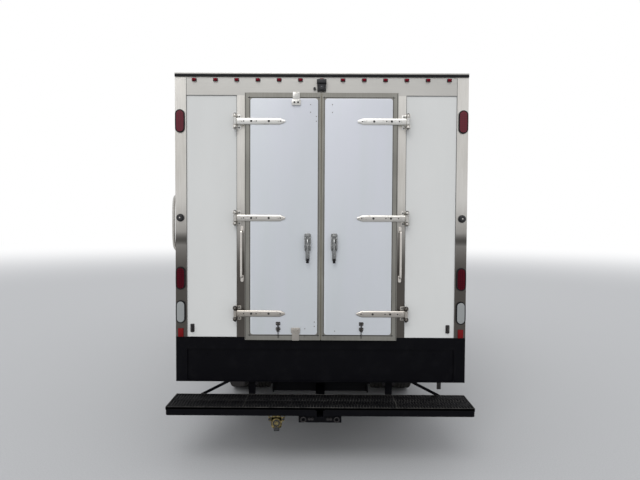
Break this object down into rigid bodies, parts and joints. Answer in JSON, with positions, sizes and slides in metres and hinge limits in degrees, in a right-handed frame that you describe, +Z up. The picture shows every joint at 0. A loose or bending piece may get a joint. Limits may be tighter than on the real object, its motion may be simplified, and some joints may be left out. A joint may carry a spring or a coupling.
{
  "type": "box truck",
  "caption": "Cab-forward box truck with a tilting cab, an insulated cargo body, two side-hinged rear doors and a step bumper.",
  "frame": {"origin": "on the ground below the middle of the truck's overall length and width", "axes": "+Y towards the cab's front, +X towards the kerb side, +Z up"},
  "size_m": [2.58, 6.979, 3.215],
  "materials": {
    "aluminium_frame": "mill aluminium",
    "black_paint": "satin black chassis paint",
    "black_plastic": "moulded black plastic",
    "cab_paint": "gloss white cab paint",
    "cast": "cast iron",
    "clear_lens": "clear lens",
    "fabric": "woven seat cloth",
    "galvanised": "cast and plated hardware",
    "glass": "tinted window glass",
    "grey_plastic": "textured grey trim",
    "red_lens": "red lens",
    "rim_paint": "painted steel disc wheel",
    "rubber": "black rubber sheet",
    "stainless": "brushed stainless",
    "timber": "extruded aluminium duct floor",
    "tyre_rubber": "tyre rubber",
    "white_paint": "gloss white body panel",
    "zinc_yellow": "yellow passivated zinc"
  },
  "bodies": {
    "chassis": {"backup_lamps": "clear_lens", "battery_box": "black_paint", "cargo_floor": "timber", "cargo_front_wall": "white_paint", "cargo_roof": "white_paint", "cargo_wall_left": "white_paint", "cargo_wall_right": "white_paint", "crossmembers": "black_paint", "engine_block": "cast", "exhaust": "stainless", "frame_rails": "black_paint", "front_axle": "cast", "front_bumper": "cab_paint", "fuel_tank": "black_paint", "grab_handles": "stainless", "hinge_posts": "stainless", "leaf_springs": "black_paint", "mud_flaps": "rubber", "propeller_shaft": "black_paint", "rear_axle": "cast", "rear_camera": "black_plastic", "rear_header": "white_paint", "rear_posts": "stainless", "rear_side_panels": "white_paint", "rear_sill": "black_paint", "red_lamps": "red_lens", "step_bumper": "black_paint", "step_deck": "black_paint", "trailer_socket": "zinc_yellow"},
    "cab": {"cab_floor": "black_paint", "cab_back_wall": "cab_paint", "cab_roof": "cab_paint", "cab_front_panel": "cab_paint", "cab_side_frames": "cab_paint", "cab_steps": "black_plastic", "cab_glass": "glass", "dashboard": "grey_plastic", "seats": "fabric", "mirrors": "black_plastic", "headlamps": "clear_lens"},
    "cab_door_right": {"cab_door_right": "cab_paint", "cab_door_glass_right": "glass"},
    "cab_door_left": {"cab_door_left": "cab_paint", "cab_door_glass_left": "glass"},
    "cargo_door_right": {"cargo_door_right": "aluminium_frame", "door_hardware_right": "galvanised"},
    "cargo_door_left": {"cargo_door_left": "aluminium_frame", "door_hardware_left": "galvanised"},
    "knuckle_right": {"steering_knuckle_right": "cast"},
    "knuckle_left": {"steering_knuckle_left": "cast"},
    "front_wheel_right": {"front_wheel_right": "rim_paint", "front_tyre_right": "tyre_rubber"},
    "front_wheel_left": {"front_wheel_left": "rim_paint", "front_tyre_left": "tyre_rubber"},
    "rear_wheels_right": {"rear_wheels_right": "rim_paint", "rear_inner_tyre_right": "tyre_rubber", "rear_outer_tyre_right": "tyre_rubber"},
    "rear_wheels_left": {"rear_wheels_left": "rim_paint", "rear_inner_tyre_left": "tyre_rubber", "rear_outer_tyre_left": "tyre_rubber"}
  },
  "joints": [
    {"name": "cab_tilt", "type": "hinge", "parent": "chassis", "child": "cab", "pos_m": [0, 3.2395, 0.7], "axis": [-1, 0, 0], "range_deg": [0, 45]},
    {"name": "cab_door_right_hinge", "type": "hinge", "parent": "cab", "child": "cab_door_right", "pos_m": [1.017, 3.1565, 1.165], "axis": [0, 0, 1], "range_deg": [0, 70]},
    {"name": "cab_door_left_hinge", "type": "hinge", "parent": "cab", "child": "cab_door_left", "pos_m": [-1.017, 3.1565, 1.165], "axis": [0, 0, -1], "range_deg": [0, 70]},
    {"name": "cargo_door_right_hinge", "type": "hinge", "parent": "chassis", "child": "cargo_door_right", "pos_m": [0.71, -3.2605, 2.015], "axis": [0, 0, 1], "range_deg": [0, 180]},
    {"name": "cargo_door_left_hinge", "type": "hinge", "parent": "chassis", "child": "cargo_door_left", "pos_m": [-0.71, -3.2605, 2.015], "axis": [0, 0, -1], "range_deg": [0, 180]},
    {"name": "steer_right", "type": "hinge", "parent": "chassis", "child": "knuckle_right", "pos_m": [0.725, 2.3895, 0.406], "axis": [0, 0, 1], "range_deg": [-35, 35]},
    {"name": "steer_left", "type": "hinge", "parent": "chassis", "child": "knuckle_left", "pos_m": [-0.725, 2.3895, 0.406], "axis": [0, 0, 1], "range_deg": [-35, 35]},
    {"name": "front_wheel_right_spin", "type": "hinge", "parent": "knuckle_right", "child": "front_wheel_right", "pos_m": [0.815, 2.3895, 0.406], "axis": [1, 0, 0], "continuous": true},
    {"name": "front_wheel_left_spin", "type": "hinge", "parent": "knuckle_left", "child": "front_wheel_left", "pos_m": [-0.815, 2.3895, 0.406], "axis": [1, 0, 0], "continuous": true},
    {"name": "rear_wheels_right_spin", "type": "hinge", "parent": "chassis", "child": "rear_wheels_right", "pos_m": [0.825, -1.4205, 0.406], "axis": [1, 0, 0], "continuous": true},
    {"name": "rear_wheels_left_spin", "type": "hinge", "parent": "chassis", "child": "rear_wheels_left", "pos_m": [-0.825, -1.4205, 0.406], "axis": [1, 0, 0], "continuous": true}
  ],
  "couplings": [
    {"joint": "steer_left", "follows": "steer_right", "ratio": 1}
  ]
}
